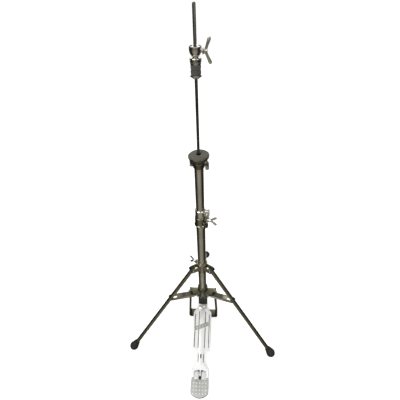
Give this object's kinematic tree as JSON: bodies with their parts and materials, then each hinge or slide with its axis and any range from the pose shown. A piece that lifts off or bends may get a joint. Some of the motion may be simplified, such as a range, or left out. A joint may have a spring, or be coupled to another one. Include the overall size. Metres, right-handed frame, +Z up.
{
  "type": "hi hat stand",
  "caption": "Hi-hat cymbal stand with a tripod base, telescoping tube, tilting cymbal seat, pull rod, clutch and a foot pedal joined by a strap.",
  "frame": {"origin": "on the floor, on the axis of the tubes, under the plate of the pedal frame", "axes": "+Z up along the tubes; -Y towards the heel of the pedal, the side the player stands; +X right as the picture shows it"},
  "size_m": [0.5048, 0.5715, 1.001],
  "materials": {
    "tube_chrome": "polished, warm grey reflections",
    "hardware_chrome": "polished",
    "leg_steel": "worn plating, olive grey",
    "frame_steel": "dark, satin",
    "cast_alloy": "as cast, near white",
    "seat_steel": "dark olive",
    "seat_felt": "felt, olive grey",
    "clutch_felt": "felt, dark grey",
    "foot_rubber": "matte black",
    "strap_black": "woven and rubbered, black",
    "nylon": "matte",
    "spring_steel": "satin"
  },
  "bodies": {
    "base": {"pedal_frame": "frame_steel", "base_casting": "frame_steel", "frame_bolt_left": "hardware_chrome", "frame_bolt_right": "hardware_chrome", "lower_tube": "tube_chrome", "tube_clamp": "leg_steel", "clamp_bush": "nylon", "clamp_pinch_screw": "hardware_chrome", "spring_seat": "nylon", "return_spring": "spring_steel", "radius_bar": "frame_steel", "radius_bar_rivet": "hardware_chrome", "heel_plate": "cast_alloy", "heel_screw": "hardware_chrome", "hinge_pin": "hardware_chrome", "brace_pin_left": "leg_steel", "brace_pin_right": "leg_steel", "brace_pin_rear": "leg_steel"},
    "leg_collar": {"leg_collar": "leg_steel", "leg_pivot_pin_left": "leg_steel", "leg_pivot_pin_right": "leg_steel", "leg_pivot_pin_rear": "leg_steel"},
    "collar_screw": {"collar_wing_screw": "hardware_chrome"},
    "clamp_screw": {"clamp_wing_screw": "hardware_chrome"},
    "column": {"upper_tube": "tube_chrome", "memory_lock": "hardware_chrome", "memory_lock_screw": "hardware_chrome", "seat_base": "seat_steel", "rod_guide_bush": "nylon", "seat_pivot_pin": "hardware_chrome"},
    "tilt_screw": {"tilt_screw": "hardware_chrome"},
    "seat": {"seat_cup": "seat_steel", "seat_felt": "seat_felt"},
    "pull_rod": {"upper_pull_rod": "tube_chrome", "rod_coupler": "spring_steel", "lower_pull_rod": "spring_steel", "spring_cap": "nylon", "rod_yoke": "frame_steel", "yoke_pin": "hardware_chrome"},
    "strap": {"drive_strap": "strap_black"},
    "pedal": {"footboard": "cast_alloy", "toe_clip": "hardware_chrome", "toe_clip_screw": "hardware_chrome"},
    "clutch": {"clutch_body": "hardware_chrome", "clutch_washer": "hardware_chrome", "clutch_felt_upper": "clutch_felt", "clutch_felt_lower": "clutch_felt"},
    "clutch_lock": {"clutch_lock_nut": "hardware_chrome"},
    "clutch_nut": {"clutch_bottom_nut": "hardware_chrome"},
    "clutch_screw": {"clutch_wing_screw": "hardware_chrome"},
    "leg_left": {"leg_left": "leg_steel", "foot_left": "foot_rubber"},
    "brace_left": {"brace_left": "leg_steel"},
    "leg_right": {"leg_right": "leg_steel", "foot_right": "foot_rubber"},
    "brace_right": {"brace_right": "leg_steel"},
    "leg_rear": {"leg_rear": "leg_steel", "foot_rear": "foot_rubber"},
    "brace_rear": {"brace_rear": "leg_steel"}
  },
  "joints": [
    {"name": "pedal_press", "type": "hinge", "parent": "base", "child": "pedal", "pos_m": [0, -0.217, 0.009], "axis": [-1, 0, 0], "range_deg": [0, 10.6], "stiffness_Nm_per_rad": 30, "springref_deg": -4.58},
    {"name": "rod_pull", "type": "slide", "parent": "base", "child": "pull_rod", "axis": [0, 0, -1], "range_m": [0, 0.039], "deforming": ["return_spring"]},
    {"name": "strap_swing", "type": "hinge", "parent": "pull_rod", "child": "strap", "pos_m": [0, 0, 0.131], "axis": [1, 0, 0], "range_deg": [0, 15]},
    {"name": "tube_height", "type": "slide", "parent": "base", "child": "column", "axis": [0, 0, 1], "range_m": [0, 0.1]},
    {"name": "tilt_screw_turn", "type": "hinge", "parent": "column", "child": "tilt_screw", "pos_m": [0.019, 0, 0.694], "axis": [0, 0, 1], "range_deg": [-545, 1275]},
    {"name": "seat_tilt", "type": "hinge", "parent": "column", "child": "seat", "pos_m": [-0.0175, 0, 0.694], "axis": [0, -1, 0], "range_deg": [-1.9, 4.5]},
    {"name": "clamp_screw_turn", "type": "hinge", "parent": "base", "child": "clamp_screw", "pos_m": [0, 0, 0.519], "axis": [0.9659, -0.2588, 0], "range_deg": [0, 720]},
    {"name": "collar_slide", "type": "slide", "parent": "base", "child": "leg_collar", "axis": [0, 0, 1], "range_m": [0, 0.078]},
    {"name": "collar_screw_turn", "type": "hinge", "parent": "leg_collar", "child": "collar_screw", "pos_m": [0, 0, 0.314], "axis": [-0.866, 0.5, 0], "range_deg": [0, 720]},
    {"name": "leg_fold_left", "type": "hinge", "parent": "leg_collar", "child": "leg_left", "pos_m": [-0.02944, -0.017, 0.308], "axis": [0.5, -0.866, 0], "range_deg": [0, 28.2]},
    {"name": "brace_fold_left", "type": "hinge", "parent": "base", "child": "brace_left", "pos_m": [-0.03118, -0.018, 0.168], "axis": [-0.5, 0.866, 0], "range_deg": [0, 49]},
    {"name": "leg_fold_right", "type": "hinge", "parent": "leg_collar", "child": "leg_right", "pos_m": [0.02944, -0.017, 0.308], "axis": [0.5, 0.866, 0], "range_deg": [0, 28.2]},
    {"name": "brace_fold_right", "type": "hinge", "parent": "base", "child": "brace_right", "pos_m": [0.03118, -0.018, 0.168], "axis": [-0.5, -0.866, 0], "range_deg": [0, 49]},
    {"name": "leg_fold_rear", "type": "hinge", "parent": "leg_collar", "child": "leg_rear", "pos_m": [0, 0.034, 0.308], "axis": [-1, 0, 0], "range_deg": [0, 28.2]},
    {"name": "brace_fold_rear", "type": "hinge", "parent": "base", "child": "brace_rear", "pos_m": [0, 0.036, 0.168], "axis": [1, 0, 0], "range_deg": [0, 49]},
    {"name": "clutch_slide", "type": "slide", "parent": "pull_rod", "child": "clutch", "axis": [0, 0, 1], "range_m": [-0.1, 0.055]},
    {"name": "clutch_screw_turn", "type": "hinge", "parent": "clutch", "child": "clutch_screw", "pos_m": [0, 0, 0.9295], "axis": [1, 0, 0], "range_deg": [0, 720]},
    {"name": "lock_nut_turn", "type": "hinge", "parent": "clutch", "child": "clutch_lock", "pos_m": [0, 0, 0.9155], "axis": [0, 0, 1], "range_deg": [0, 720]},
    {"name": "bottom_nut_turn", "type": "hinge", "parent": "clutch", "child": "clutch_nut", "pos_m": [0, 0, 0.886], "axis": [0, 0, -1], "range_deg": [0, 1080]}
  ],
  "couplings": [
    {"joint": "rod_pull", "follows": "pedal_press", "m_per_rad": 0.20954},
    {"joint": "strap_swing", "follows": "pedal_press", "ratio": 1.3625},
    {"joint": "tilt_screw_turn", "follows": "seat_tilt", "ratio": 282.49},
    {"joint": "leg_fold_left", "follows": "collar_slide", "rad_per_m": 6.2657},
    {"joint": "brace_fold_left", "follows": "collar_slide", "rad_per_m": 10.852},
    {"joint": "leg_fold_right", "follows": "collar_slide", "rad_per_m": 6.2657},
    {"joint": "brace_fold_right", "follows": "collar_slide", "rad_per_m": 10.852},
    {"joint": "leg_fold_rear", "follows": "collar_slide", "rad_per_m": 6.2657},
    {"joint": "brace_fold_rear", "follows": "collar_slide", "rad_per_m": 10.852}
  ]
}
